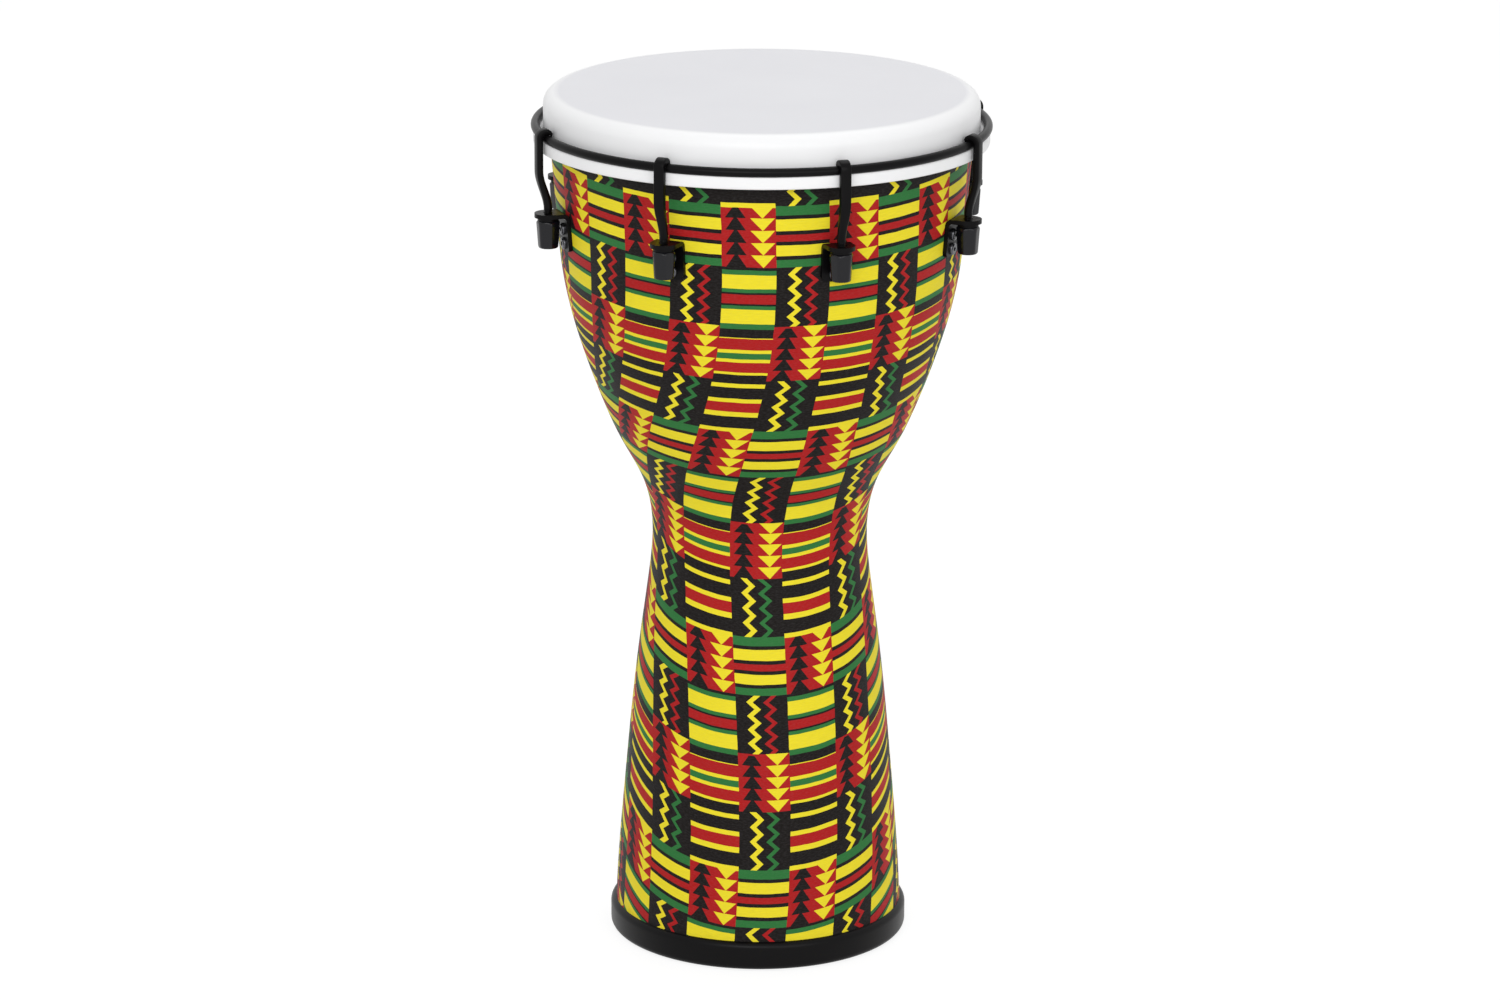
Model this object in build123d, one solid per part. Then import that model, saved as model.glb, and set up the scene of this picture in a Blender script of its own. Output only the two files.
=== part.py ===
"""A rope-free djembe: a synthetic goblet shell in printed fabric, with a mechanically tuned film head.

Millimetres. The origin is the centre of the foot's underside, +Z is up and -Y is the front.
Outlines of revolved pieces are drawn as (radius, height).
Pieces of a lug are drawn in the XZ plane, as if the lug stood at +X, and then turned into place.
"""

import os
from math import atan, cos, radians, sin

from build123d import *

# ---------------------------------------------------------------- head, hoop and ring
HEAD_TOP_Z = 613.8
COLLAR_R = 152.5
FILM = 0.5
SHOULDER_R = 9.5
FILM_TRAPPED = 5.0
HEAD_REST_GAP = 0.05
HOOP_DROP = 26.4
HOOP_WIDTH = 8.9
HOOP_HEIGHT = 8.8
HOOP_GRIP = 1.9
HOOP_CORNER = 1.2
RING_WIRE = 3.15
RING_INSET = 1.5
RING_SEAT = 0.35

# ---------------------------------------------------------------- shell, cover and foot
SHELL_WALL = 5.0
COVER = 0.8
COVER_DROP = 31.8
RIM_INSET = 3.9
EDGE_INSET = 3.0
EDGE_LAND = 1.4
EDGE_INNER_ROUND = 1.5
# outside of the bowl from the waist up, as (depth below the cover's top edge, inset from its rim)
BOWL_OUTLINE = [
    (280.0, 72.2),
    (247.0, 65.5),
    (217.0, 49.9),
    (182.0, 34.4),
    (142.0, 20.3),
    (102.0, 10.3),
    (62.0, 5.6),
]
# outside of the stem from the floor up, as (height, flare past the waist), for a waist this high
STEM_HEIGHT = 302.0
STEM_OUTLINE = [
    (0.0, 26.4),
    (20.0, 26.0),
    (110.0, 19.7),
    (210.0, 9.7),
    (262.0, 2.7),
]
FOOT_R = 106.3
FOOT_HEIGHT = 20.5
FOOT_RUBBER = 3.5
FOOT_FLOOR = 4.0
FOOT_ROUND = 4.6
FOOT_LIP_ROUND = 1.6
FOOT_INNER_ROUND = 1.0

# ---------------------------------------------------------------- tuning hooks
LUGS = 8
FIRST_LUG_ANGLE = -24.9
ROD = 6.0
ROD_INSET = 1.0
ROD_SHORT = 2.55
ROD_CHAMFER = 0.8
HOOK_WIDTH = 7.4
HOOK_THICK = 4.4
HOOK_CROWN = 4.0
CROWN_ROUND = 6.3
HOOK_TIP = 2.0
HOOK_TIP_ANGLE = 45
HOOK_ROUND = 0.7
HOOK_FIT = 0.15
BEND_DROP = 22.2
BEND_END_UP = 3.0
BEND_STEPS = 6
# a rounded rectangle takes corners up to just under half its width
CORNER_SPARE = 0.06

# ---------------------------------------------------------------- lug brackets and tuning nuts
LEDGE_DROP = 75.8
STRIP = 3.0
STRIP_WIDTH = 19.0
STRIP_BEND_R = 2.3
PLATE_LENGTH = 27.5
PLATE_CORNER_R = 4.0
ROD_HOLE = 6.8
WASHER = 2.0
WASHER_WIDTH = 14.6
NUT_PLAY = 0.05
NUT_HEIGHT = 19.5
NUT_FLATS_TOP = 15.6
NUT_FLATS_BOTTOM = 13.1
NUT_WIDTH = 16.8
NUT_EDGE_CHAMFER = 1.0
NUT_CREST = 1.6
THREAD_CLEARANCE = 0.05

# ---------------------------------------------------------------- fasteners through the shell
BOLT = 5.0
BOLT_HEAD = 8.6
BOLT_HEAD_HEIGHT = 2.0
BOLT_HEAD_ROUND = 1.2
BOLT_HOLE = 5.6
LOW_BOLT_UP = 5.3
HIGH_BOLT_UP = 15.5
BOLT_PAST_NUT = 1.5
BACKING = 2.5
BACKING_SEAT = 0.05
BACKING_LENGTH = 24.0
BACKING_WIDTH = 18.0
LOCK_NUT_FLATS = 8.0
LOCK_NUT_HEIGHT = 4.5
LOCK_NUT_SEAT = 0.1
SOCKET_FLATS = 3.0
SOCKET_DEPTH = 1.3

# ---------------------------------------------------------------- worked out from the above
LAND_Z = HEAD_TOP_Z - FILM - HEAD_REST_GAP
HOOP_TOP_Z = HEAD_TOP_Z - HOOP_DROP
HOOP_BOTTOM_Z = HOOP_TOP_Z - HOOP_HEIGHT
HOOP_INNER_R = COLLAR_R - HOOP_GRIP
HOOP_OUTER_R = HOOP_INNER_R + HOOP_WIDTH
RING_R = HOOP_OUTER_R - RING_INSET
RING_Z = HOOP_TOP_Z + RING_WIRE - RING_SEAT
WRAP = RING_WIRE + HOOK_FIT

EDGE_OUTER_R = COLLAR_R - EDGE_INSET
EDGE_LAND_R = COLLAR_R - SHOULDER_R
RIM_R = COLLAR_R - RIM_INSET
COVER_TOP_Z = HEAD_TOP_Z - COVER_DROP
WAIST_Z = COVER_TOP_Z - BOWL_OUTLINE[0][0]
WAIST_R = RIM_R - BOWL_OUTLINE[0][1]

ROD_R = RING_R - ROD_INSET
BAR_INNER_R = RING_R + WRAP
BAR_R = BAR_INNER_R + HOOK_THICK / 2
HOOK_TOP_Z = RING_Z + WRAP + HOOK_CROWN
BEND_TOP_Z = RING_Z - BEND_DROP
LEDGE_TOP_Z = HEAD_TOP_Z - LEDGE_DROP
LEDGE_BOTTOM_Z = LEDGE_TOP_Z - STRIP
BEND_END_Z = LEDGE_TOP_Z + BEND_END_UP
PLATE_BOTTOM_Z = LEDGE_TOP_Z - PLATE_LENGTH
NUT_TOP_Z = LEDGE_BOTTOM_Z - WASHER - NUT_PLAY
NUT_BOTTOM_Z = NUT_TOP_Z - NUT_HEIGHT
ROD_END_Z = NUT_BOTTOM_Z + ROD_SHORT
BOLT_HEIGHTS = (PLATE_BOTTOM_Z + LOW_BOLT_UP, PLATE_BOTTOM_Z + HIGH_BOLT_UP)
BIG = 2 * COLLAR_R
THROUGH = 3 * STRIP


def revolved(*edges):
    """The solid that a closed outline of (radius, height) edges sweeps about the drum's axis."""
    return revolve(Plane.XZ * make_face(edges), Axis.Z)


def beside(curve, distance, steps=26):
    """A curve that keeps the given distance to the axis side of another one."""
    points = []
    for i in range(steps + 1):
        t = i / steps
        along = curve % t
        points.append(curve @ t + Vector(-along.Y, along.X) * distance)
    return Spline(*points)


def goblet_outline():
    """The cover's outside, from inside the foot ring, past the waist and up behind the flesh hoop."""
    flare = (FOOT_R - FOOT_RUBBER - WAIST_R) / STEM_OUTLINE[0][1]
    stretch = WAIST_Z / STEM_HEIGHT
    stem = [(WAIST_R + flare * past, stretch * height) for height, past in STEM_OUTLINE]
    bowl = [(RIM_R - inset, COVER_TOP_Z - depth) for depth, inset in BOWL_OUTLINE]
    return Spline(*stem, *bowl, (RIM_R, COVER_TOP_Z))


cover_outside = goblet_outline()
shell_outside = beside(cover_outside, COVER)
shell_inside = beside(cover_outside, COVER + SHELL_WALL)


def cover_at(height):
    """Radius of the cover's outside at a height."""
    low, high = 0.0, 1.0
    for _ in range(40):
        middle = (low + high) / 2
        if (cover_outside @ middle).Y < height:
            low = middle
        else:
            high = middle
    return (cover_outside @ low).X


def over_foot(piece):
    """The part of a piece above the floor of the foot ring."""
    return piece & Pos(0, 0, FOOT_FLOOR) * extrude(Circle(BIG), 2 * HEAD_TOP_Z)


def shell():
    """Goblet with one wall, thickened and rounded at the bearing edge."""
    top_out = shell_outside @ 1
    top_in = shell_inside @ 1
    low_out = shell_outside @ 0
    low_in = shell_inside @ 0
    edge_round = EDGE_OUTER_R - EDGE_LAND_R
    shoulder = (EDGE_OUTER_R, LAND_Z - edge_round)
    land_out = (EDGE_LAND_R, LAND_Z)
    land_in = (EDGE_LAND_R - EDGE_LAND, LAND_Z)
    inner_side = (land_in[0] - EDGE_INNER_ROUND, LAND_Z - EDGE_INNER_ROUND)
    wall = revolved(
        shell_outside,
        Line(top_out, shoulder),
        RadiusArc(shoulder, land_out, -edge_round),
        Line(land_out, land_in),
        RadiusArc(land_in, inner_side, -EDGE_INNER_ROUND),
        Line(inner_side, top_in),
        shell_inside,
        Line(low_in, low_out),
    )
    return over_foot(wall)


def fabric_cover():
    """Printed fabric bonded to the whole outside of the shell."""
    layer = revolved(
        cover_outside,
        Line(cover_outside @ 1, shell_outside @ 1),
        shell_outside,
        Line(shell_outside @ 0, cover_outside @ 0),
    )
    return over_foot(layer)


def foot_ring():
    """Rubber ring under the shell's lower edge and up round its outside."""
    inner_r = (shell_inside @ 0).X
    middle_r = (inner_r + FOOT_R) / 2
    section = Pos(middle_r, FOOT_HEIGHT / 2) * Rectangle(FOOT_R - inner_r, FOOT_HEIGHT)
    for corner, radius in (
        ((FOOT_R, 0), FOOT_ROUND),
        ((FOOT_R, FOOT_HEIGHT), FOOT_LIP_ROUND),
        ((inner_r, 0), FOOT_INNER_ROUND),
    ):
        section = fillet(section.vertices().sort_by_distance(corner)[0], radius)
    ring = revolve(Plane.XZ * section, Axis.Z)
    return ring - over_foot(inside_of(cover_outside))


def inside_of(curve):
    """Everything between an outline and the drum's axis."""
    low, high = curve @ 0, curve @ 1
    return revolved(
        curve,
        Line(high, (0, high.Y)),
        Line((0, high.Y), (0, low.Y)),
        Line((0, low.Y), low),
    )


def drum_head():
    """Film with a flat playing face, a rounded shoulder and a collar that ends in the flesh hoop."""
    edge_z = HOOP_TOP_Z - FILM_TRAPPED
    shoulder_z = HEAD_TOP_Z - SHOULDER_R
    flat_r = COLLAR_R - SHOULDER_R
    inner_r = COLLAR_R - FILM
    return revolved(
        Line((0, HEAD_TOP_Z), (flat_r, HEAD_TOP_Z)),
        RadiusArc((flat_r, HEAD_TOP_Z), (COLLAR_R, shoulder_z), SHOULDER_R),
        Line((COLLAR_R, shoulder_z), (COLLAR_R, edge_z)),
        Line((COLLAR_R, edge_z), (inner_r, edge_z)),
        Line((inner_r, edge_z), (inner_r, shoulder_z)),
        RadiusArc((inner_r, shoulder_z), (flat_r, HEAD_TOP_Z - FILM), FILM - SHOULDER_R),
        Line((flat_r, HEAD_TOP_Z - FILM), (0, HEAD_TOP_Z - FILM)),
        Line((0, HEAD_TOP_Z - FILM), (0, HEAD_TOP_Z)),
    )


def tuning_ring():
    """Round steel rod bent into a ring that presses the flesh hoop down."""
    return revolve(Plane.XZ * Pos(RING_R, RING_Z) * Circle(RING_WIRE), Axis.Z)


def flesh_hoop():
    """Hoop that holds the film's edge, with a shallow seat for the tuning ring."""
    middle_r = (HOOP_OUTER_R + HOOP_INNER_R) / 2
    middle_z = (HOOP_TOP_Z + HOOP_BOTTOM_Z) / 2
    section = RectangleRounded(HOOP_WIDTH, HOOP_HEIGHT, HOOP_CORNER)
    hoop = revolve(Plane.XZ * Pos(middle_r, middle_z) * section, Axis.Z)
    return hoop - tuning_ring() - drum_head()


def hook_claw():
    """Flat upper end of a hook, wrapped over the tuning ring from outside."""
    tip_sin = sin(radians(HOOK_TIP_ANGLE))
    tip_cos = cos(radians(HOOK_TIP_ANGLE))
    outer_r = BAR_INNER_R + HOOK_THICK
    crown = (outer_r - CROWN_ROUND, HOOK_TOP_Z)
    turn = (outer_r, HOOK_TOP_Z - CROWN_ROUND)
    tip_out = (RING_R - (WRAP + HOOK_TIP) * tip_sin, RING_Z + (WRAP + HOOK_TIP) * tip_cos)
    tip_in = (RING_R - WRAP * tip_sin, RING_Z + WRAP * tip_cos)
    over_top = (RING_R, RING_Z + WRAP)
    cheek = (BAR_INNER_R, RING_Z)
    outline = make_face(
        [
            Line((outer_r, BEND_TOP_Z), turn),
            RadiusArc(turn, crown, -CROWN_ROUND),
            TangentArc(crown, tip_out, tangent=(-1, 0)),
            Line(tip_out, tip_in),
            RadiusArc(tip_in, over_top, WRAP),
            RadiusArc(over_top, cheek, WRAP),
            Line(cheek, (BAR_INNER_R, BEND_TOP_Z)),
            Line((BAR_INNER_R, BEND_TOP_Z), (outer_r, BEND_TOP_Z)),
        ]
    )
    return extrude(Plane.XZ * outline, HOOK_WIDTH / 2, both=True)


def bend_section(share):
    """Section of a hook part of the way down its bend, square to the bend's centre line."""
    ease = share * share * (3 - 2 * share)
    slope = 6 * share * (1 - share) * (BAR_R - ROD_R) / (BEND_TOP_Z - BEND_END_Z)
    centre = (BAR_R + (ROD_R - BAR_R) * ease, 0, BEND_TOP_Z + (BEND_END_Z - BEND_TOP_Z) * share)
    wide = HOOK_WIDTH + (ROD - HOOK_WIDTH) * ease
    thick = HOOK_THICK + (ROD - HOOK_THICK) * ease
    corner = HOOK_ROUND + (ROD / 2 - CORNER_SPARE - HOOK_ROUND) * ease
    plane = Plane(origin=centre, x_dir=(0, 1, 0), z_dir=(-slope, 0, -1))
    return plane * RectangleRounded(wide, thick, corner)


def tuning_hook():
    """Hook with a flat claw and bar, a double bend, and a round rod that the nut runs on."""
    claw = hook_claw()
    long_edges = claw.edges().filter_by(Axis.Z)
    claw = fillet(long_edges, HOOK_ROUND)
    sections = [bend_section(i / BEND_STEPS) for i in range(BEND_STEPS + 1)]
    bend = loft(sections)
    length = BEND_END_Z - ROD_END_Z
    rod = Pos(ROD_R, 0, ROD_END_Z) * extrude(Circle(ROD / 2), length)
    rod = chamfer(rod.faces().sort_by(Axis.Z)[0].edges(), ROD_CHAMFER)
    return claw + bend + rod


def plate_line():
    """A lug plate's lie against the cover: the radius at its lower end, and its gain per height."""
    low_r = cover_at(PLATE_BOTTOM_Z)
    high_r = cover_at(BOLT_HEIGHTS[1])
    return low_r, (high_r - low_r) / (BOLT_HEIGHTS[1] - PLATE_BOTTOM_Z)


def on_plate(height, distance):
    """Frame square to a lug plate at a height, at a distance outside the cover, facing outward."""
    low_r, slope = plate_line()
    lean = atan(slope)
    outward = (cos(lean), 0, -sin(lean))
    radius = low_r + slope * (height - PLATE_BOTTOM_Z)
    origin = (radius + outward[0] * distance, 0, height + outward[2] * distance)
    return Plane(origin=origin, x_dir=(0, 1, 0), z_dir=outward)


def plate_face():
    """Distance of a flat lug plate's outer face from the round cover, at the plate's middle."""
    sag = (STRIP_WIDTH / 2) ** 2 / (2 * cover_at(PLATE_BOTTOM_Z))
    return STRIP - sag


def lug_bracket():
    """Bent steel strip: a ledge that the rod passes through, and a plate bolted to the shell."""
    low_r, slope = plate_line()
    ledge_z = (LEDGE_TOP_Z + LEDGE_BOTTOM_Z) / 2
    lower = on_plate(PLATE_BOTTOM_Z, plate_face() - STRIP / 2).origin
    corner = Vector(lower.X + slope * (ledge_z - lower.Z), 0, ledge_z)
    outer = Vector(ROD_R + STRIP_WIDTH / 2, 0, ledge_z)
    path = FilletPolyline(lower, corner, outer, radius=STRIP_BEND_R + STRIP / 2)
    start = Plane(origin=path @ 0, x_dir=(0, 1, 0), z_dir=path % 0)
    strip = sweep(start * Rectangle(STRIP_WIDTH, STRIP), path)
    # rounded corners at the plate's lower end
    foot_edges = strip.faces().sort_by(Axis.Z)[0].edges()
    short_edges = foot_edges.filter_by(lambda e: e.length < 2 * STRIP)
    strip = fillet(short_edges, PLATE_CORNER_R)
    # rounded outer end of the ledge
    plan = Pos(ROD_R, 0) * Circle(STRIP_WIDTH / 2)
    plan += Pos(ROD_R - BIG / 2, 0) * Rectangle(BIG, STRIP_WIDTH)
    strip = strip & Pos(0, 0, PLATE_BOTTOM_Z - STRIP) * extrude(plan, BIG)
    strip -= Pos(ROD_R, 0, LEDGE_BOTTOM_Z - STRIP) * extrude(Circle(ROD_HOLE / 2), THROUGH)
    for height in BOLT_HEIGHTS:
        hole = on_plate(height, -STRIP) * Circle(BOLT_HOLE / 2)
        strip -= extrude(hole, THROUGH)
    return strip - inside_of(cover_outside)


def nut_washer():
    """Plain washer between the ledge and the nut."""
    section = Circle(WASHER_WIDTH / 2) - Circle(ROD_HOLE / 2)
    return Pos(ROD_R, 0, LEDGE_BOTTOM_Z - WASHER) * extrude(section, WASHER)


def tuning_nut():
    """Long six-sided nut that tapers downward, with its corners turned off and a bevelled crest."""
    low = Plane.XY.offset(NUT_BOTTOM_Z) * RegularPolygon(NUT_FLATS_BOTTOM / 2, 6, major_radius=False)
    high = Plane.XY.offset(NUT_TOP_Z) * RegularPolygon(NUT_FLATS_TOP / 2, 6, major_radius=False)
    body = loft([low, high])
    taper = NUT_FLATS_BOTTOM / NUT_FLATS_TOP
    top_r = NUT_WIDTH / 2
    low_r = top_r * taper
    crest_r = top_r - NUT_CREST
    turned = revolved(
        Line((0, NUT_BOTTOM_Z), (low_r - NUT_EDGE_CHAMFER, NUT_BOTTOM_Z)),
        Line((low_r - NUT_EDGE_CHAMFER, NUT_BOTTOM_Z), (low_r, NUT_BOTTOM_Z + NUT_EDGE_CHAMFER)),
        Line((low_r, NUT_BOTTOM_Z + NUT_EDGE_CHAMFER), (top_r, NUT_TOP_Z - NUT_CREST)),
        Line((top_r, NUT_TOP_Z - NUT_CREST), (crest_r, NUT_TOP_Z)),
        Line((crest_r, NUT_TOP_Z), (0, NUT_TOP_Z)),
        Line((0, NUT_TOP_Z), (0, NUT_BOTTOM_Z)),
    )
    bore = Plane.XY.offset(NUT_BOTTOM_Z) * Circle(ROD / 2 + THREAD_CLEARANCE)
    return Pos(ROD_R, 0) * (body & turned - extrude(bore, NUT_HEIGHT))


def bracket_bolt(height):
    """Low-headed bolt through the plate, the cover, the shell and the backing plate."""
    seat = on_plate(height, plate_face())
    length = plate_face() + COVER + SHELL_WALL + BACKING
    length += LOCK_NUT_SEAT + LOCK_NUT_HEIGHT + BOLT_PAST_NUT
    head = extrude(Circle(BOLT_HEAD / 2), BOLT_HEAD_HEIGHT)
    head = fillet(head.faces().sort_by(Axis.Z)[-1].edges(), BOLT_HEAD_ROUND)
    socket = RegularPolygon(SOCKET_FLATS / 2, 6, major_radius=False)
    head -= Pos(0, 0, BOLT_HEAD_HEIGHT - SOCKET_DEPTH) * extrude(socket, SOCKET_DEPTH)
    shank = Pos(0, 0, -length) * extrude(Circle(BOLT / 2), length)
    return seat * (head + shank)


def bracket_backing():
    """Steel strip behind the shell wall, curved to its inside."""
    near = beside(cover_outside, COVER + SHELL_WALL + BACKING_SEAT)
    far = beside(cover_outside, COVER + SHELL_WALL + BACKING)
    lining = inside_of(near) - inside_of(far)
    middle = sum(BOLT_HEIGHTS) / 2
    frame = on_plate(middle, -COVER - SHELL_WALL)
    outline = frame * RectangleRounded(BACKING_WIDTH, BACKING_LENGTH, PLATE_CORNER_R)
    strip = lining & extrude(outline, 2 * BACKING, both=True)
    for height in BOLT_HEIGHTS:
        strip -= bolt_hole(height)
    return strip


def lock_nut(height):
    """Six-sided nut on a bolt, inside the shell."""
    depth = COVER + SHELL_WALL + BACKING + LOCK_NUT_SEAT
    section = RegularPolygon(LOCK_NUT_FLATS / 2, 6, major_radius=False)
    section -= Circle(BOLT / 2)
    return extrude(on_plate(height, -depth) * section, -LOCK_NUT_HEIGHT)


def bolt_hole(height):
    """Cutter for the hole that a bolt passes through, from the cover to the inside of the backing."""
    depth = COVER + SHELL_WALL + BACKING + 2 * THROUGH
    return extrude(on_plate(height, THROUGH) * Circle(BOLT_HOLE / 2), -depth)


def at_lug(number, piece):
    """A piece drawn at +X, turned to its lug; lugs count anticlockwise seen from above."""
    angle = FIRST_LUG_ANGLE + number * 360 / LUGS
    return Rot(0, 0, angle - 90) * piece


def at_every_lug(pieces):
    """Copies of some small pieces at all lugs, as separate solids."""
    return [at_lug(i, piece) for i in range(LUGS) for piece in pieces]


def main():
    os.makedirs("parts", exist_ok=True)
    holes = at_every_lug([bolt_hole(height) for height in BOLT_HEIGHTS])
    single = {
        "shell": shell() - holes,
        "fabric_cover": fabric_cover() - holes,
        "foot_ring": foot_ring(),
        "drum_head": drum_head(),
        "flesh_hoop": flesh_hoop(),
        "tuning_ring": tuning_ring(),
    }
    per_lug = {
        "tuning_hook": tuning_hook(),
        "lug_bracket": lug_bracket(),
        "tuning_nut": tuning_nut(),
    }
    grouped = {
        "nut_washers": [nut_washer()],
        "bracket_bolts": [bracket_bolt(height) for height in BOLT_HEIGHTS],
        "bracket_backing_plates": [bracket_backing()],
        "bracket_lock_nuts": [lock_nut(height) for height in BOLT_HEIGHTS],
    }
    for node, piece in single.items():
        export_step(piece, f"parts/{node}.step")
    for node, piece in per_lug.items():
        for i in range(LUGS):
            export_step(at_lug(i, piece), f"parts/{node}_{i + 1}.step")
    for node, pieces in grouped.items():
        export_step(Compound(children=at_every_lug(pieces)), f"parts/{node}.step")


main()
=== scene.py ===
"""A rope-free djembe with a printed cloth cover and a mechanically tuned film head.

Sizes are written in millimetres and the meshes are in metres, in the frame of the CAD model: the
origin is under the foot, +Z is up and -Y is the front. Angles round the drum are in degrees from the
front, anticlockwise seen from above. In an outline, r is the distance from the drum's axis.
"""

from math import pi, radians

import bmesh
import bpy
import numpy as np
from mathutils import Matrix, Vector

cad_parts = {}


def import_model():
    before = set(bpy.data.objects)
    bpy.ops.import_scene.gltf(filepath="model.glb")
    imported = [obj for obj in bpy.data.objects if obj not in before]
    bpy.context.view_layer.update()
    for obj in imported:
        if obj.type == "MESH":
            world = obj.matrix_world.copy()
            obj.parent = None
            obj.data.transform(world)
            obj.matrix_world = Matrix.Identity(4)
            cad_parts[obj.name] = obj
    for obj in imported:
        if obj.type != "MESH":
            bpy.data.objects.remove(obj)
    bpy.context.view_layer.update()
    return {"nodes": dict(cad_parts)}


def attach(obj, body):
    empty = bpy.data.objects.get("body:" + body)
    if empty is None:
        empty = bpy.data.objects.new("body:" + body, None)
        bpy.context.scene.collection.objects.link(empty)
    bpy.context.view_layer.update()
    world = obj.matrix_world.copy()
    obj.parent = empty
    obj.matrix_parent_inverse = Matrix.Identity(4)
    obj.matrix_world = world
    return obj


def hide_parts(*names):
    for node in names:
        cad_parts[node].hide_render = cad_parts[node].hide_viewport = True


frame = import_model()

MM = 0.001

# ---------------------------------------------------------------- sizes, in millimetres
HEAD_TOP = 613.8
COLLAR_R = 152.5
PLAYING_R = 143.6
FILM = 0.5
FILM_SHOULDER = 9.5
FILM_EDGE_Z = 582.4

HOOP_PLAY = 0.02
HOOP_R = 159.5
HOOP_BOTTOM, HOOP_TOP = 578.6, 587.4
HOOP_CORNER = 1.2

RING_R = 158.0
RING_Z = 590.2
RING_WIRE = 3.1

FOOT_R = 106.3
FOOT_HEIGHT = 20.5
FOOT_FLOOR = 4.0
FOOT_ROUND = 4.6
FOOT_LIP = 4.6
FOOT_INNER_ROUND = 1.0
FOOT_PLAY = 0.05

LUGS = 8
FIRST_LUG = -24.9
LUG_STEP = 360 / LUGS

HOOK_GAP = 0.15
BAR_WIDE = 7.4
BAR_THICK = 4.4
BAR_CORNER = 0.7
BEND_TOP = 568.0
BEND_END = 541.0
ROD_R = 157.0
ROD = 6.0
ROD_TIP = 0.8
ROD_TIP_SHARE = 0.78
PITCH = 1.0
THREAD_DEPTH = 0.5
THREAD_TOP = 540.0
THREAD_END = 516.0
THREAD_FADE = 0.4
# the claw's thickness by the angle about the ring's wire, from the bar at 0 to its tip
CLAW_TIP = 140
CLAW_ANGLES = [0, 20, 45, 70, 90, 115, 135, CLAW_TIP]
CLAW_THICK = [BAR_THICK, 4.65, 4.68, 4.3, 3.95, 3.1, 2.1, 1.2]

NUT_TOP = 532.95
NUT_HEIGHT = 19.5
NUT_FLATS = (13.1, 15.6)
NUT_WIDTH = 16.8
NUT_SOFT = 0.12
NUT_PLAY = 0.05
NUT_COUNTERSINK = 0.4
# what is turned off the blank's radius, by the height above its foot and the depth under its top
NUT_FOOT_TURNED = ([0, 0.4, 1.0], [0.75, 0.25, 0.0])
NUT_CREST_TURNED = ([0, 0.2, 1.6], [1.7, 1.15, 0.0])


# ---------------------------------------------------------------- shader arithmetic
class Value:
    """A shader socket. Arithmetic on it adds Math nodes to its shader."""

    def __init__(self, shader, socket):
        self.shader = shader
        self.socket = socket

    def math(self, operation, *others):
        return self.shader.math(operation, self, *others)

    def __add__(self, other):
        return self.math("ADD", other)

    def __sub__(self, other):
        return self.math("SUBTRACT", other)

    def __rsub__(self, other):
        return self.shader.math("SUBTRACT", other, self)

    def __mul__(self, other):
        return self.math("MULTIPLY", other)

    def __truediv__(self, other):
        return self.math("DIVIDE", other)

    def __mod__(self, other):
        return self.math("FLOORED_MODULO", other)

    def __lt__(self, other):
        return self.math("LESS_THAN", other)

    def __gt__(self, other):
        return self.math("GREATER_THAN", other)

    def __abs__(self):
        return self.math("ABSOLUTE")

    __radd__ = __add__
    __rmul__ = __mul__


class Shader:
    """A node tree that grows from expressions."""

    def __init__(self, tree):
        self.tree = tree

    def set(self, node, inputs):
        """Values or links on a node's sockets, by name or number."""
        for name, value in inputs.items():
            if isinstance(value, Value):
                self.tree.links.new(value.socket, node.inputs[name])
            else:
                node.inputs[name].default_value = value

    def node(self, kind, settings=None, inputs=None, output=0):
        """A node of a kind. Settings come first, then the values or links of its sockets."""
        node = self.tree.nodes.new("ShaderNode" + kind)
        for name, value in (settings or {}).items():
            if name == "stops":
                self.stops(node.color_ramp, value)
            else:
                setattr(node, name, value)
        self.set(node, inputs or {})
        return Value(self, node.outputs[output])

    def stops(self, ramp, stops):
        ramp.interpolation = "CONSTANT"
        while len(ramp.elements) < len(stops):
            ramp.elements.new(1.0)
        for element, (position, colour) in zip(ramp.elements, stops):
            element.position = position
            element.color = colour

    def math(self, operation, *values):
        return self.node("Math", {"operation": operation}, dict(enumerate(values)))

    def vector(self, operation, first, second=(0, 0, 0), output=0):
        return self.node("VectorMath", {"operation": operation}, {0: first, 1: second}, output)

    def mix(self, factor, low, high, blend="MIX"):
        """Colours mixed by a factor."""
        settings = {"data_type": "RGBA", "blend_type": blend}
        return self.node("Mix", settings, {0: factor, 6: low, 7: high}, 2)

    def noise(self, place, scale, detail=2.0, roughness=0.5, output=0):
        inputs = {"Vector": place, "Scale": scale, "Detail": detail, "Roughness": roughness}
        return self.node("TexNoise", None, inputs, output)

    def bump(self, height, distance, strength):
        inputs = {"Height": height, "Distance": distance, "Strength": strength}
        return self.node("Bump", None, inputs)

    def object_place(self):
        return self.node("TexCoord", None, None, 3)

    def sees_background(self):
        """1 for camera, glossy and transmission rays, which meet the background's own brightness, and
        0 for the rays that light the object."""
        seen = self.node("LightPath", None, None, "Is Camera Ray")
        for ray in ("Is Glossy Ray", "Is Transmission Ray"):
            seen = seen.math("MAXIMUM", self.node("LightPath", None, None, ray))
        return seen


class Finish(Shader):
    """A material with one Principled BSDF."""

    def __init__(self, name, **sockets):
        self.material = bpy.data.materials.new(name)
        self.material.use_nodes = True
        super().__init__(self.material.node_tree)
        self.surface = self.tree.nodes["Principled BSDF"]
        self.set(self.surface, {k.replace("_", " "): v for k, v in sockets.items()})


def linear(red, green, blue):
    """A colour written as three numbers to 255, as the shader wants it."""
    share = np.array([red, green, blue]) / 255
    light = np.where(share > 0.04045, ((share + 0.055) / 1.055) ** 2.4, share / 12.92)
    return (*map(float, light), 1.0)


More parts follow.
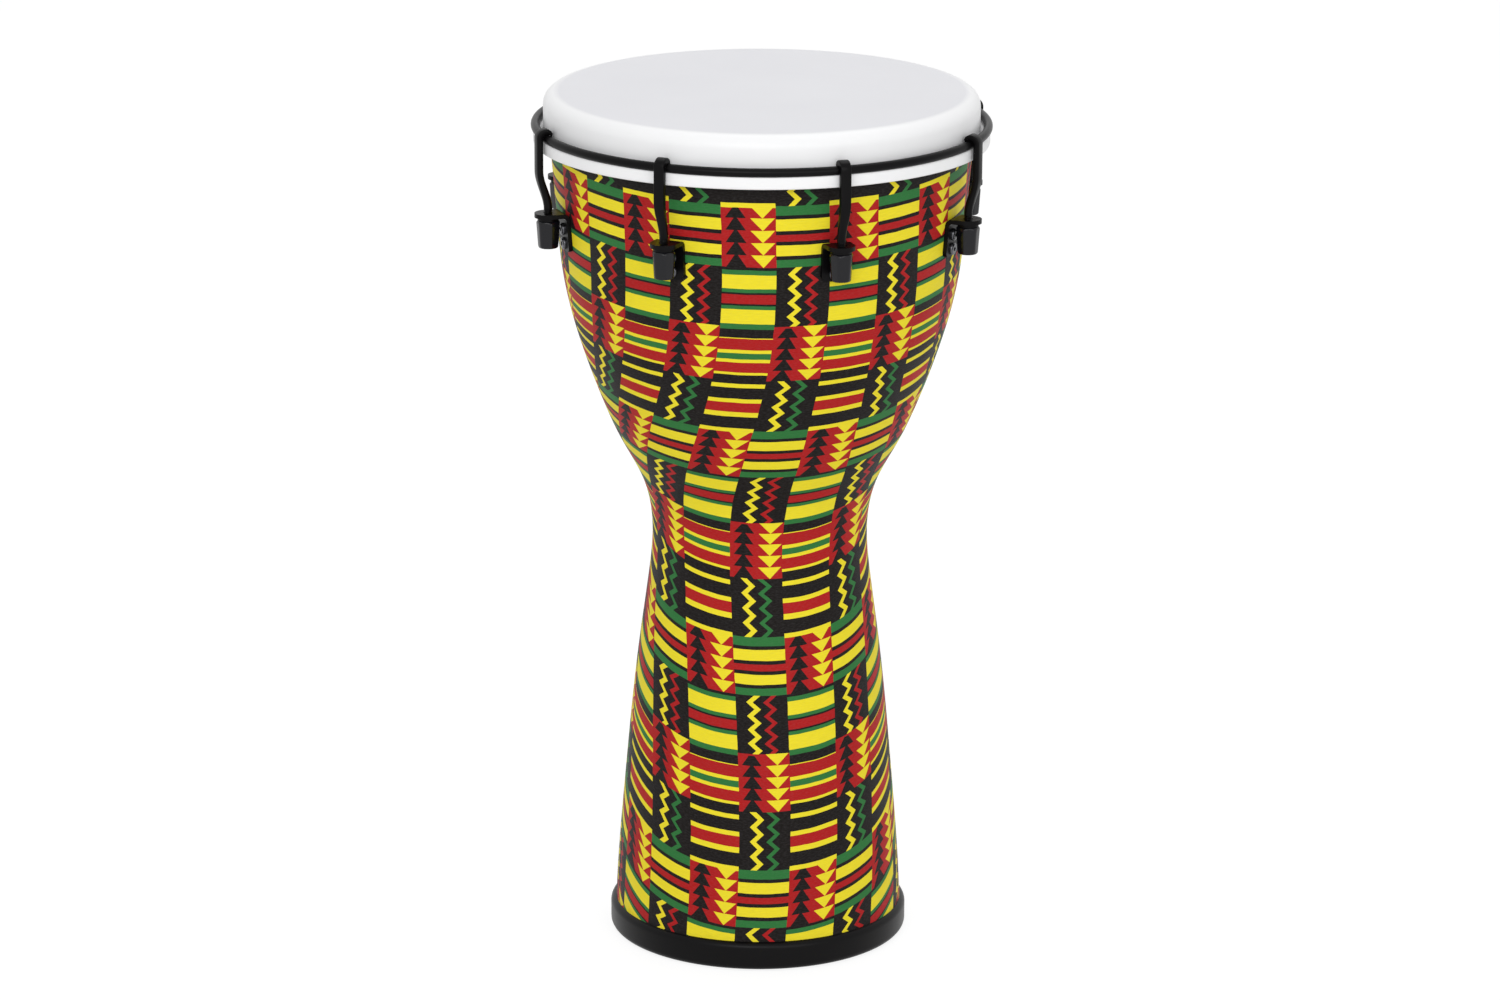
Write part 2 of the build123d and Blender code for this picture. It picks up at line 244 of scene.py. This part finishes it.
# ---------------------------------------------------------------- meshes
def add_object(name, data):
    obj = bpy.data.objects.new(name, data)
    bpy.context.scene.collection.objects.link(obj)
    return obj


def make_mesh(name, points, faces, finish):
    """A smooth object at the origin from an array of points in millimetres and a list of faces."""
    mesh = bpy.data.meshes.new(name)
    mesh.from_pydata((np.asarray(points) * MM).reshape(-1, 3).tolist(), [], faces)
    mesh.materials.append(finish.material)
    mesh.polygons.foreach_set("use_smooth", np.full(len(mesh.polygons), True))
    mesh.update()
    return add_object(name, mesh)


def grid_faces(rows, columns, closed=True):
    """Quads of a grid of points that closes along its rows and, if closed, from its last row to its
    first."""
    def corner(row, column):
        return (row % rows) * columns + column % columns

    i = np.arange(rows if closed else rows - 1)[:, None]
    j = np.arange(columns)[None, :]
    quads = [corner(i, j), corner(i, j + 1), corner(i + 1, j + 1), corner(i + 1, j)]
    return np.stack(quads, -1).reshape(-1, 4)


def merge(obj):
    """Merges doubled points and turns all faces outward."""
    shape = bmesh.new()
    shape.from_mesh(obj.data)
    bmesh.ops.remove_doubles(shape, verts=shape.verts, dist=1e-7)
    bmesh.ops.dissolve_degenerate(shape, dist=1e-8, edges=shape.edges)
    bmesh.ops.recalc_face_normals(shape, faces=shape.faces)
    shape.to_mesh(obj.data)
    shape.free()
    return obj


def lathe(name, outline, finish, around=256):
    """A closed outline of (r, z) turned about the drum's axis: (r sin a, -r cos a, z) for a from 0 to
    360 degrees. Rows on the axis are merged into one point."""
    angle = np.linspace(0, 2 * pi, around, endpoint=False)
    r, z = outline[:, :1], outline[:, 1:]
    points = np.stack([r * np.sin(angle), -r * np.cos(angle), z + 0 * angle], -1)
    return merge(make_mesh(name, points, grid_faces(len(r), around).tolist(), finish))


def arc(centre, radius, start, end, steps):
    """Points (r, z) on an arc, from one angle to another in degrees."""
    angle = np.radians(np.linspace(start, end, steps))
    return np.stack([centre[0] + radius * np.cos(angle), centre[1] + radius * np.sin(angle)], -1)


def at_lug(points, number):
    """Points drawn as if their lug stood at +X, turned to the lug."""
    turn = radians(FIRST_LUG + LUG_STEP * number - 90)
    c, s = np.cos(turn), np.sin(turn)
    x, y, z = np.moveaxis(points, -1, 0)
    return np.stack([c * x - s * y, s * x + c * y, z], -1)


def cubic_through(x, y):
    """A natural cubic spline through points, as a function of arrays."""
    h = np.diff(x)
    slope = np.diff(y) / h
    n = len(x)
    matrix = np.eye(n)
    right = np.zeros(n)
    inner = np.arange(1, n - 1)
    matrix[inner, inner - 1] = h[:-1]
    matrix[inner, inner] = 2 * (h[:-1] + h[1:])
    matrix[inner, inner + 1] = h[1:]
    right[inner] = 6 * np.diff(slope)
    bend = np.linalg.solve(matrix, right)

    def curve(t):
        k = np.clip(np.searchsorted(x, t) - 1, 0, n - 2)
        a, b = (x[k + 1] - t) / h[k], (t - x[k]) / h[k]
        warp = ((a**3 - a) * bend[k] + (b**3 - b) * bend[k + 1]) * h[k] ** 2 / 6
        return a * y[k] + b * y[k + 1] + warp

    return curve


def cad_array(name, part, field, kind):
    """A field of three of a CAD node's vertices or triangles, as rows."""
    items = getattr(frame["nodes"][name].data, part)
    values = np.zeros(len(items) * 3, kind)
    items.foreach_get(field, values)
    return values.reshape(-1, 3)


def outside_of(name, step=5.0):
    """The outline of a CAD node of revolution: a smooth radius for a height, and the heights it is known
    at. It takes the corners of the faces that look outward, at least a step apart."""
    place = cad_array(name, "vertices", "co", np.float32) / MM
    corners = cad_array(name, "polygons", "vertices", np.int32)
    normal = cad_array(name, "polygons", "normal", np.float32)
    middle = place[corners].mean(1)
    outward = (normal[:, :2] * middle[:, :2]).sum(1) / np.hypot(middle[:, 0], middle[:, 1])
    used = place[np.unique(corners[outward > 0.5])]
    radius = np.hypot(used[:, 0], used[:, 1])
    heights = np.round(used[:, 2], 1)
    levels = [heights.min()]
    for height in np.unique(heights):
        if height - levels[-1] >= step:
            levels.append(height)
    levels[-1] = heights.max()
    levels = np.array(levels, float)
    known = np.array([np.median(radius[heights == np.float32(level)]) for level in levels])
    return cubic_through(levels, known), levels


# ---------------------------------------------------------------- the cloth's print
YELLOW = linear(244, 226, 44)
RED = linear(176, 27, 28)
GREEN = linear(46, 117, 58)
BLACK = linear(20, 16, 14)
SLUB_GREY = linear(150, 146, 150)
# bands of a cell from its top down, each as a colour and where it ends
BANDS_BESIDE_ZIGZAG = [
    (BLACK, 0.035), (GREEN, 0.11), (YELLOW, 0.345), (GREEN, 0.41), (BLACK, 0.44),
    (RED, 0.605), (BLACK, 0.635), (GREEN, 0.70), (YELLOW, 0.95), (GREEN, 1.035),
]
BANDS_BESIDE_TRIANGLES = [
    (GREEN, 0.153), (BLACK, 0.213), (YELLOW, 0.40), (BLACK, 0.461), (RED, 0.566),
    (BLACK, 0.628), (YELLOW, 0.81), (BLACK, 0.875), (GREEN, 1.0),
]
BANDS_THIN = [
    (BLACK, 0.19), (YELLOW, 0.215), (RED, 0.42), (YELLOW, 0.473), (GREEN, 0.59),
    (YELLOW, 0.643), (RED, 0.83), (YELLOW, 0.89), (BLACK, 1.053),
]
BANDS_DARK = [
    (YELLOW, 0.135), (BLACK, 0.357), (YELLOW, 0.424), (RED, 0.622), (YELLOW, 0.715),
    (BLACK, 0.953), (YELLOW, 1.0),
]
TRIANGLE_COLUMN = [[(YELLOW, 0.03), (RED, 1.0)], BANDS_BESIDE_ZIGZAG, BANDS_THIN, BANDS_DARK]
ZIGZAG_COLUMN = [BANDS_BESIDE_TRIANGLES, [(BLACK, 1.0)], [(RED, 1.0)], [(BLACK, 1.0)]]
CELLS = len(TRIANGLE_COLUMN)
# a stack of triangles: how many, then each stack's place across the cell and half its base, how blunt
# the black points are and where the black stack starts
TRIANGLES = 5.0
BLACK_STACK, BLACK_HALF, BLACK_BLUNT, BLACK_TOP = 0.265, 0.16, 0.03, 0.03
YELLOW_STACK, YELLOW_HALF = 0.76, 0.222
# a zigzag line: its place across the cell, its swing and half its width
YELLOW_LINE = (0.345, 0.075, 0.061)
SECOND_LINE = (0.66, 0.08, 0.053)
# the lines' periods to a cell and where the first starts, and what the lower of two cells has less
PERIODS, LOWER_PERIODS = 4.25, 0.3
START, LOWER_START = 0.235, 0.105
# the cloth's unevenness: the print's drift in shares of a cell, streaks and slubs to a cell each way,
# and threads to a cell
DRIFT_SCALE, DRIFT = 2.2, (0.03, 0.022, 0)
STREAKS, SLUBS = (5.0, 85.0, 1.0), (14.0, 48.0, 1.0)
WEFTS, WARPS = 64.0, 58.0


def column_stops(cells):
    """Stops of a ramp down a column of cells."""
    stops, start = [], 0.0
    for row, bands in enumerate(cells):
        for colour, end in bands:
            stops.append((start / CELLS, colour))
            start = row + end
    return stops


def cloth_finish():
    """Two columns take turns, and each repeats after four cells. A cell has bands of plain colour, a
    stack of black triangles beside a stack of yellow ones, or two zigzag lines on black."""
    cloth = Finish("Printed_Cloth", Specular_IOR_Level=0.1)
    place = cloth.node("UVMap", {"uv_map": "print"})
    wander = cloth.noise(place, DRIFT_SCALE, output=1)
    drift = cloth.vector("MULTIPLY", cloth.vector("SUBTRACT", wander, (0.5, 0.5, 0.5)), DRIFT)
    laid = cloth.vector("ADD", place, drift)
    u = cloth.node("SeparateXYZ", None, {0: laid}, 0)
    v = cloth.node("SeparateXYZ", None, {0: laid}, 1)
    across, down = u % 1.0, v % 1.0
    first = (u % 2.0) > 1.0
    row = (v % CELLS).math("FLOOR")
    turn = (v % CELLS) / CELLS
    left = cloth.node("ValToRGB", {"stops": column_stops(TRIANGLE_COLUMN)}, {0: turn})
    right = cloth.node("ValToRGB", {"stops": column_stops(ZIGZAG_COLUMN)}, {0: turn})
    colour = cloth.mix(first, right, left)

    # triangles over each other, black ones pointing up and yellow ones pointing down
    triangles = first * (row < 0.5) + (1 - first) * (abs(row - 2.0) < 0.5)
    fifth = (down * TRIANGLES) % 1.0
    black = abs(across - BLACK_STACK) < fifth * BLACK_HALF + BLACK_BLUNT
    black = black * (down > BLACK_TOP)
    yellow = abs(across - YELLOW_STACK) < (1 - fifth) * YELLOW_HALF
    colour = cloth.mix(triangles * black, colour, BLACK)
    colour = cloth.mix(triangles * yellow, colour, YELLOW)

    # two zigzags side by side: yellow with green, and yellow with red in the lower cells
    zigzags = (1 - first) * (abs((row % 2.0) - 1.0) < 0.5)
    lower = row > 2.0
    period = PERIODS - lower * LOWER_PERIODS
    start = START - lower * LOWER_START
    wave = 1 - abs(((down - start) * period + 0.5) % 1.0 - 0.5) * 4.0

    def line(middle, swing, half):
        return abs(across - middle - wave * swing) < half

    second = cloth.mix(lower, RED, GREEN)
    colour = cloth.mix(zigzags * line(*YELLOW_LINE), colour, YELLOW)
    colour = cloth.mix(zigzags * line(*SECOND_LINE), colour, second)

    # threads: fine streaks along the rows, and a slubby mottling that shows most on black
    streak = cloth.noise(cloth.vector("MULTIPLY", place, STREAKS), 1.0, 3.0, 0.6)
    slub = cloth.noise(cloth.vector("MULTIPLY", place, SLUBS), 1.0, 3.0, 0.65)
    pale = ((slub - 0.42) * 0.20).math("MAXIMUM", 0.0)
    colour = cloth.mix(pale, colour, SLUB_GREY)
    grey = streak * 0.30 + 0.85
    tone = cloth.node("CombineColor", None, {0: grey, 1: grey, 2: grey})
    colour = cloth.mix(1.0, colour, tone, "MULTIPLY")
    weft = abs((v * WEFTS) % 1.0 - 0.5)
    warp = abs((u * WARPS) % 1.0 - 0.5)
    cloth.set(cloth.surface, {
        "Base Color": colour,
        "Roughness": streak * 0.25 + 0.38,
        "Normal": cloth.bump(weft + warp + streak * 0.8, 0.00012, 0.55),
    })
    return cloth


# ---------------------------------------------------------------- how the cloth lies on the drum
# points round and up the outside, and which of its rows the inside repeats
AROUND, TALL = 300, 230
INNER_STEP = 4
CLOTH = 0.75
LAP, LAP_REACH = 0.35, 9.0
# the height that the changes below are measured from, and the rise that they are given for
HALF_WAY = 300
MIDDLE, MIDDLE_TURN = 22.98, 2.397
COLUMN_WIDE, COLUMN_WIDENS = 36.76, 0.473
WAIST_WIDENS, WAIST_Z, WAIST_REACH = 2.37, 365.4, 49.07
MIDDLE_COLUMN = 1.383
# hundredths of a column that the columns stray by, at some heights
STRAY_Z = np.array([20, 70, 200, 350, 450, 520, 580.0])
STRAY = np.array([10, 1, 0, 0, -4.5, 0.5, 13])
# a row's height, the length from the lowest level to the top of the first row, and the sides' rise
ROW_TALL = 42.034
FIRST_ROW_LENGTH = 558.5
LENGTH_FROM_Z = 18.0
ROW_RISE, ROW_RISE_LESS = 21.53, 12.23
ROW_LOWEST = 3.17
# in shares of a row: a sag between foot and rim, more rise at the sides and a rise under the hoop
ROW_SAG = 0.029
SIDE_RISE = 0.25
TOP_RISE, TOP_Z, TOP_REACH = 0.052, 580, 60


def printed_cover(finish):
    """The cloth: the radius is the CAD cover's, and the angle runs from seam to seam. The print's
    columns are the arc from its middle, which is angle times radius, over a column's width. Its rows
    are the length down the outline over a row's height, and they rise to both sides by 1 less the
    cosine of the angle. At the back one edge laps over the other and eases down by a bell curve."""
    outline, levels = outside_of("fabric_cover")
    z = np.linspace(levels[0], levels[-1], TALL)
    r = outline(z)
    length = np.concatenate([[0], np.cumsum(np.hypot(np.diff(z), np.diff(r)))])
    length = length - np.interp(LENGTH_FROM_Z, z, length)
    above = (z - HALF_WAY) / HALF_WAY

    share = np.linspace(-1, 1, AROUND)
    theta = (MIDDLE + MIDDLE_TURN * above)[:, None] + 180 * share
    width = COLUMN_WIDE + COLUMN_WIDENS * above
    width = width + WAIST_WIDENS * np.exp(-(((z - WAIST_Z) / WAIST_REACH) ** 2))
    u = MIDDLE_COLUMN + pi * share * (r / width)[:, None]
    u = u + cubic_through(STRAY_Z, STRAY)(z)[:, None] / 100

    rise = ROW_RISE - ROW_RISE_LESS * above
    aside = 1 - np.cos(np.radians(theta - ROW_LOWEST))
    v = (FIRST_ROW_LENGTH + rise[:, None] * aside - length[:, None]) / ROW_TALL
    v = v + SIDE_RISE * (1 - above)[:, None] * np.minimum(aside, 1) ** 2
    bends = TOP_RISE * np.exp(-(((z - TOP_Z) / TOP_REACH) ** 2)) - ROW_SAG * np.sin(pi * above)
    v = v + bends[:, None]

    from_edge = (1 - share) * pi * r[:, None]
    skin = r[:, None] + LAP * np.exp(-((from_edge / LAP_REACH) ** 2))
    back = slice(None, None, -INNER_STEP)
    inside = np.broadcast_to(r[back, None] - CLOTH, theta[back].shape)
    shape_r = np.concatenate([skin, inside])
    shape_z = np.concatenate([z, z[back]])[:, None] + 0 * shape_r
    angle = np.radians(np.concatenate([theta, theta[back]]))
    points = np.stack([shape_r * np.sin(angle), -shape_r * np.cos(angle), shape_z], -1)
    quads = grid_faces(len(shape_r), AROUND)
    obj = make_mesh("printed_cover", points, quads.tolist(), finish)
    uv = np.stack([np.concatenate([u, u[back]]), np.concatenate([v, v[back]])], -1).reshape(-1, 2)
    layer = obj.data.uv_layers.new(name="print")
    layer.data.foreach_set("uv", uv[quads.ravel()].astype(np.float32).ravel())
    return obj


# ---------------------------------------------------------------- head, hoop, ring and foot
def head_film(finish):
    """The film's outside is a flat face, a shoulder that is a quarter of a circle, and a collar. The
    inside is the same, a film's thickness further in."""
    face_steps, arc_steps, collar_steps = 16, 14, 6
    shoulder_r, shoulder_z = COLLAR_R - FILM_SHOULDER, HEAD_TOP - FILM_SHOULDER
    face_r = np.linspace(0, shoulder_r, face_steps)
    face = np.stack([face_r, np.full(face_steps, HEAD_TOP)], -1)
    collar_z = np.linspace(shoulder_z - 3, FILM_EDGE_Z, collar_steps)
    collar = np.stack([np.full(collar_steps, COLLAR_R), collar_z], -1)
    centre = (shoulder_r, shoulder_z)
    outline = np.concatenate([
        face[:-1],
        arc(centre, FILM_SHOULDER, 90, 0, arc_steps),
        collar,
        collar[::-1] - [FILM, 0],
        arc(centre, FILM_SHOULDER - FILM, 0, 90, arc_steps),
        face[-2::-1] - [0, FILM],
    ])
    return lathe("head_film", outline[::-1], finish)


def hoop(finish):
    """A rectangle with rounded corners, turned about the axis."""
    corner, steps = HOOP_CORNER, 5
    low_r, high_r = COLLAR_R + HOOP_PLAY + corner, HOOP_R - corner
    low_z, high_z = HOOP_BOTTOM + corner, HOOP_TOP - corner
    outline = np.concatenate([
        arc((high_r, low_z), corner, -90, 0, steps),
        arc((high_r, high_z), corner, 0, 90, steps),
        arc((low_r, high_z), corner, 90, 180, steps),
        arc((low_r, low_z), corner, 180, 270, steps),
    ])
    return lathe("hoop_band", outline, finish)


def ring(finish):
    """A circle turned about the axis."""
    steps = 24
    outline = arc((RING_R, RING_Z), RING_WIRE, 0, 360 - 360 / steps, steps)
    return lathe("tuning_ring_wire", outline, finish)


def foot_band(finish):
    """The rubber ring: its outer edges are arcs, its bed follows the cloth, and its ledge is under the
    shell."""
    cloth_r, _ = outside_of("fabric_cover")
    rubber = cad_array("foot_ring", "vertices", "co", np.float32)
    inner = np.hypot(rubber[:, 0], rubber[:, 1]).min() / MM
    bed_z = np.linspace(FOOT_HEIGHT, FOOT_FLOOR, 8)
    outline = np.concatenate([
        arc((inner + FOOT_INNER_ROUND, FOOT_INNER_ROUND), FOOT_INNER_ROUND, 180, 270, 5),
        arc((FOOT_R - FOOT_ROUND, FOOT_ROUND), FOOT_ROUND, -90, 0, 9),
        arc((FOOT_R - FOOT_LIP, FOOT_HEIGHT - FOOT_LIP), FOOT_LIP, 0, 80, 9),
        np.stack([cloth_r(bed_z) + FOOT_PLAY, bed_z], -1),
        [[inner, FOOT_FLOOR]],
    ])
    return lathe("foot_band", outline, finish)


# ---------------------------------------------------------------- lugs
def section(wide, thick, corner, count=28):
    """A loop that is a small circle of the corner's radius, pushed out to a box by the hyperbolic
    tangent of its sine and cosine. The sizes are arrays along the path."""
    steep = 14
    angle = np.linspace(0, 2 * pi, count, endpoint=False)
    c, s = np.cos(angle), np.sin(angle)
    corner = corner[:, None]
    x = (wide[:, None] / 2 - corner) * np.tanh(c * steep) + corner * c
    y = (thick[:, None] / 2 - corner) * np.tanh(s * steep) + corner * s
    return x, y


def hook(number, finish):
    """A section carried down the hook: over the ring by the angle about its wire, down the flat bar,
    through the double bend, where the radius eases by 3 t squared less 2 t cubed, and down the rod. The
    thread's depth goes up and down with the height over the pitch less the turn round the rod."""
    claw_steps, bar_steps, bend_steps, per_turn = 26, 5, 22, 10
    flat_steps = claw_steps + bar_steps
    wrap = RING_WIRE + HOOK_GAP
    turn = np.radians(np.linspace(CLAW_TIP, 0, claw_steps))
    outer = wrap + np.interp(np.degrees(turn), CLAW_ANGLES, CLAW_THICK)
    middle = (wrap + outer) / 2

    bar_r = RING_R + wrap + BAR_THICK / 2
    bar_z = np.linspace(RING_Z - 2, BEND_TOP + 1, bar_steps)
    share = np.linspace(0, 1, bend_steps)
    ease = share**2 * (3 - 2 * share)
    slope = 6 * share * (1 - share) * (bar_r - ROD_R) / (BEND_TOP - BEND_END)
    lean = np.hypot(1, slope)

    rod_steps = int((THREAD_TOP - THREAD_END) / PITCH) * per_turn + 1
    rod_z = np.linspace(THREAD_TOP, THREAD_END, rod_steps)

    # along the path: where it is, the way that its thickness points, and its section
    r = np.concatenate([
        RING_R + middle * np.cos(turn), np.full(bar_steps, bar_r),
        bar_r + (ROD_R - bar_r) * ease, np.full(rod_steps, ROD_R),
    ])
    z = np.concatenate([
        RING_Z + middle * np.sin(turn), bar_z, BEND_TOP + (BEND_END - BEND_TOP) * share, rod_z,
    ])
    out = np.concatenate([
        np.stack([np.cos(turn), np.sin(turn)], -1), [[1, 0]] * bar_steps,
        np.stack([1 / lean, -slope / lean], -1), [[1, 0]] * rod_steps,
    ])

    def along_path(flat, rod=ROD):
        bend = flat[-1] + (rod - flat[-1]) * ease
        return np.concatenate([flat, bend, np.full(rod_steps, rod)])

    wide = along_path(np.full(flat_steps, BAR_WIDE))
    thick = along_path(np.concatenate([outer - wrap, np.full(bar_steps, BAR_THICK)]))
    corner = along_path(np.full(flat_steps, BAR_CORNER), ROD / 2)
    across, along = section(wide, thick, corner)

    count = across.shape[1]
    level = z[:, None]
    phase = (level / PITCH - np.arange(count) / count) % 1.0
    fade = np.clip((THREAD_TOP + THREAD_FADE - level) / (2 * THREAD_FADE), 0, 1)
    groove = THREAD_DEPTH * np.abs(phase - 0.5) * 2 * fade
    tip = np.clip((level - THREAD_END) / ROD_TIP, 0, 1)
    shrink = (1 - groove / (ROD / 2)) * (ROD_TIP_SHARE + (1 - ROD_TIP_SHARE) * tip)
    shrink = np.where(level <= THREAD_TOP, shrink, 1.0)
    across, along = across * shrink, along * shrink
    points = np.stack([r[:, None] + along * out[:, :1], across, level + along * out[:, 1:]], -1)
    first_cap = np.arange(count)
    last_cap = first_cap + (len(r) - 1) * count
    faces = grid_faces(len(r), count, closed=False).tolist()
    faces += [first_cap[::-1].tolist(), last_cap.tolist()]
    return merge(make_mesh(f"hook_{number + 1}", at_lug(points, number), faces, finish))


def nut(number, finish):
    """A turned and milled body: at each height the radius is the smaller of the hexagon's, which is
    half the flats over the cosine of the angle from the flat's middle, and the turned blank's. The
    smaller is taken softly, as minus the logarithm of the sum of both exponentials."""
    around, body_rows = 96, 8
    bottom = NUT_TOP - NUT_HEIGHT
    angle = np.linspace(0, 2 * pi, around, endpoint=False)
    off_flat = (angle + pi / 6) % (pi / 3) - pi / 6
    height = np.concatenate([
        bottom + np.array([0, 0.09, 0.3]),
        np.linspace(bottom + 0.9, NUT_TOP - 1.8, body_rows),
        NUT_TOP - np.array([1.3, 0.9, 0.5, 0.2, 0.05]),
    ])
    flats_low, flats_high = NUT_FLATS
    flats = flats_low + (flats_high - flats_low) * (height - bottom) / NUT_HEIGHT
    hexagon = flats[:, None] / 2 / np.cos(off_flat)
    blank = NUT_WIDTH / 2 * flats / flats_high
    blank = blank - np.interp(height - bottom, *NUT_FOOT_TURNED)
    blank = blank - np.interp(NUT_TOP - height, *NUT_CREST_TURNED)
    both = np.exp(-hexagon / NUT_SOFT) + np.exp(-blank[:, None] / NUT_SOFT)
    side = -NUT_SOFT * np.log(both)

    bore = np.full(around, ROD / 2 + NUT_PLAY)
    mouth = bore + NUT_COUNTERSINK
    radius = np.array([mouth, *side, mouth, bore, bore])
    level = np.array([
        bottom, *height, NUT_TOP, NUT_TOP - NUT_COUNTERSINK, bottom + NUT_COUNTERSINK,
    ])[:, None] + 0 * radius
    points = np.stack([ROD_R + radius * np.cos(angle), radius * np.sin(angle), level], -1)
    faces = grid_faces(len(radius), around).tolist()
    return merge(make_mesh(f"nut_body_{number + 1}", at_lug(points, number), faces, finish))


# ---------------------------------------------------------------- finishes
def film_finish():
    """Coated film: the playing face has a fine sprayed grain, the collar is smoother and whiter. The
    collar's white is partly its own and partly painted light, for light that shines through the thin
    film.
    """
    edge = 2.2
    film = Finish("Coated_Film", Specular_IOR_Level=0.25)
    place = film.object_place()
    reach = film.vector("LENGTH", film.vector("MULTIPLY", place, (1, 1, 0)), output=1)
    collar = (reach - (PLAYING_R - edge) * MM) / (2 * edge * MM)
    collar = collar.math("MAXIMUM", 0.0).math("MINIMUM", 1.0)
    cloud = film.noise(place, 14.0, 3.0)
    grain = film.noise(place, 2600.0, 2.0, 0.6)
    face = film.mix(cloud, (0.768, 0.769, 0.8, 1), (0.81, 0.811, 0.838, 1))
    film.set(film.surface, {
        # the collar's white is partly its own and partly painted light, for light that shines through
        # the thin film
        "Base Color": film.mix(collar, face, (0.915, 0.917, 0.925, 1)),
        "Roughness": 0.55 - collar * 0.18,
        "Normal": film.bump(grain * (1 - collar * 0.8), 0.00008, 0.4),
    })
    return film


def plain_finish(name, colour, roughness, grain_scale, depth, spread, **sockets):
    """One colour with a grain: a broad noise varies colour and roughness a little, and the grain varies
    the roughness and lifts the surface."""
    finish = Finish(name, **sockets)
    place = finish.object_place()
    grain = finish.noise(place, grain_scale, 3.0, 0.6)
    broad = finish.noise(place, 22.0)
    dark = (*(c * (1 - spread) for c in colour[:3]), 1.0)
    light = (*(c * (1 + spread) for c in colour[:3]), 1.0)
    finish.set(finish.surface, {
        "Base Color": finish.mix(broad, dark, light),
        "Roughness": roughness + (broad - 0.5) * 0.12 + (grain - 0.5) * 0.1,
        "Normal": finish.bump(grain, depth, 0.6),
    })
    return finish


cloth = cloth_finish()
film = film_finish()
# colour, roughness, grain per metre, depth of the grain in metres, spread of the colour
white_hoop = plain_finish("White_Hoop", (0.93, 0.93, 0.935), 0.42, 900, 4e-5, 0.02)
steel = plain_finish(
    "Black_Powder_Coat", linear(9, 8, 9), 0.33, 1500, 6e-5, 0.15, Specular_IOR_Level=0.1
)
nut_metal = plain_finish(
    "Black_Nut", linear(14, 14, 19), 0.22, 1200, 3e-5, 0.12, Specular_IOR_Level=0.3
)
rubber = plain_finish(
    "Foot_Rubber", linear(7, 6, 7), 0.36, 1700, 3e-5, 0.12, Specular_IOR_Level=0.12
)
plastic = plain_finish("Shell_Plastic", linear(42, 41, 43), 0.55, 700, 1e-4, 0.15)
zinc = plain_finish("Black_Zinc", linear(92, 92, 96), 0.28, 1400, 4e-5, 0.2, Metallic=0.9)


# ---------------------------------------------------------------- pieces on their bodies
def place(piece, body, slot, *nodes):
    """Says which CAD body carries a piece and which CAD nodes it stands for, and hides those nodes. The
    slot, which would name its finish, is not used.
    """
    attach(piece, body)
    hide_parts(*nodes)


cover = printed_cover(cloth)
place(cover, "drum_body", "printed_fabric", "fabric_cover")
place(head_film(film), "head_assembly", "head_film", "drum_head")
place(hoop(white_hoop), "head_assembly", "hoop_white", "flesh_hoop")
place(ring(steel), "head_assembly", "black_steel", "tuning_ring")
place(foot_band(rubber), "drum_body", "foot_rubber", "foot_ring")
for i in range(LUGS):
    place(hook(i, steel), "head_assembly", "black_steel", f"tuning_hook_{i + 1}")
    place(nut(i, nut_metal), f"nut_{i + 1}", "black_steel", f"tuning_nut_{i + 1}")

# CAD nodes that are shown as they are
kept = {"shell": plastic, "nut_washers": steel, "bracket_bolts": zinc,
        "bracket_backing_plates": zinc, "bracket_lock_nuts": zinc}
kept.update({f"lug_bracket_{i + 1}": steel for i in range(LUGS)})
for name, finish in kept.items():
    mesh = frame["nodes"][name].data
    mesh.materials.clear()
    mesh.materials.append(finish.material)


# ---------------------------------------------------------------- stage, light and camera
def stage():
    """A pale floor. Its own glow brings it up to white where it is seen, and it keeps the shadow."""
    floor = Finish("Floor")
    half, drop = 60_000, 0.5
    corners = [(-half, -half, -drop), (half, -half, -drop), (half, half, -drop), (-half, half, -drop)]
    make_mesh("floor", corners, [(0, 1, 2, 3)], floor)
    seen = floor.sees_background()
    shade = floor.mix(seen, (0.75, 0.75, 0.75, 1), (0.25, 0.25, 0.25, 1))
    matte = floor.node("BsdfDiffuse", None, {"Color": shade})
    glow = floor.node("Emission", None, {"Strength": seen * 0.84})
    both = floor.node("AddShader", None, {0: matte, 1: glow})
    floor.set(floor.tree.nodes["Material Output"], {"Surface": both})
    floor.tree.nodes.remove(floor.surface)


def world():
    """An even white studio, which lights the object at less than it shows."""
    sky = bpy.data.worlds.new("Studio")
    sky.use_nodes = True
    bpy.context.scene.world = sky
    shader = Shader(sky.node_tree)
    limits = {"Value": shader.sees_background(), "To Min": 0.6, "To Max": 1.0}
    strength = shader.node("MapRange", None, limits)
    back = sky.node_tree.nodes["Background"]
    shader.set(back, {"Color": (1, 1, 1, 1), "Strength": strength})


def lamp(name, location, size, power):
    """A soft rectangular lamp that looks at the middle of the drum."""
    light = bpy.data.lights.new(name, "AREA")
    light.shape = "RECTANGLE"
    light.size, light.size_y = size
    light.energy = power
    obj = add_object(name, light)
    obj.location = location
    obj.rotation_mode = "QUATERNION"
    to_middle = Vector((0, 0, 0.35)) - Vector(location)
    obj.rotation_quaternion = to_middle.to_track_quat("-Z", "Y")


def camera():
    data = bpy.data.cameras.new("camera")
    data.sensor_width = 36.0
    data.lens = 136.285
    data.clip_end = 200
    obj = add_object("camera", data)
    pitch, roll = 0.2797456, 0.0045139
    turn = Matrix.Rotation(pi / 2 - pitch, 4, "X") @ Matrix.Rotation(roll, 4, "Z")
    obj.matrix_world = Matrix.Translation((-0.00702, -3.87963, 1.43111)) @ turn
    bpy.context.scene.camera = obj


stage()
world()
lamp("key", (-1.0, -3.4, 2.2), (1.8, 1.8), 29)
lamp("fill", (1.5, -3.1, 1.5), (1.6, 2.0), 20)
lamp("top", (0.2, 0.9, 2.8), (1.8, 1.8), 14)
lamp("spark", (-0.2, -3.7, 2.3), (0.5, 0.5), 14)
camera()
bpy.context.scene.view_settings.view_transform = "Standard"
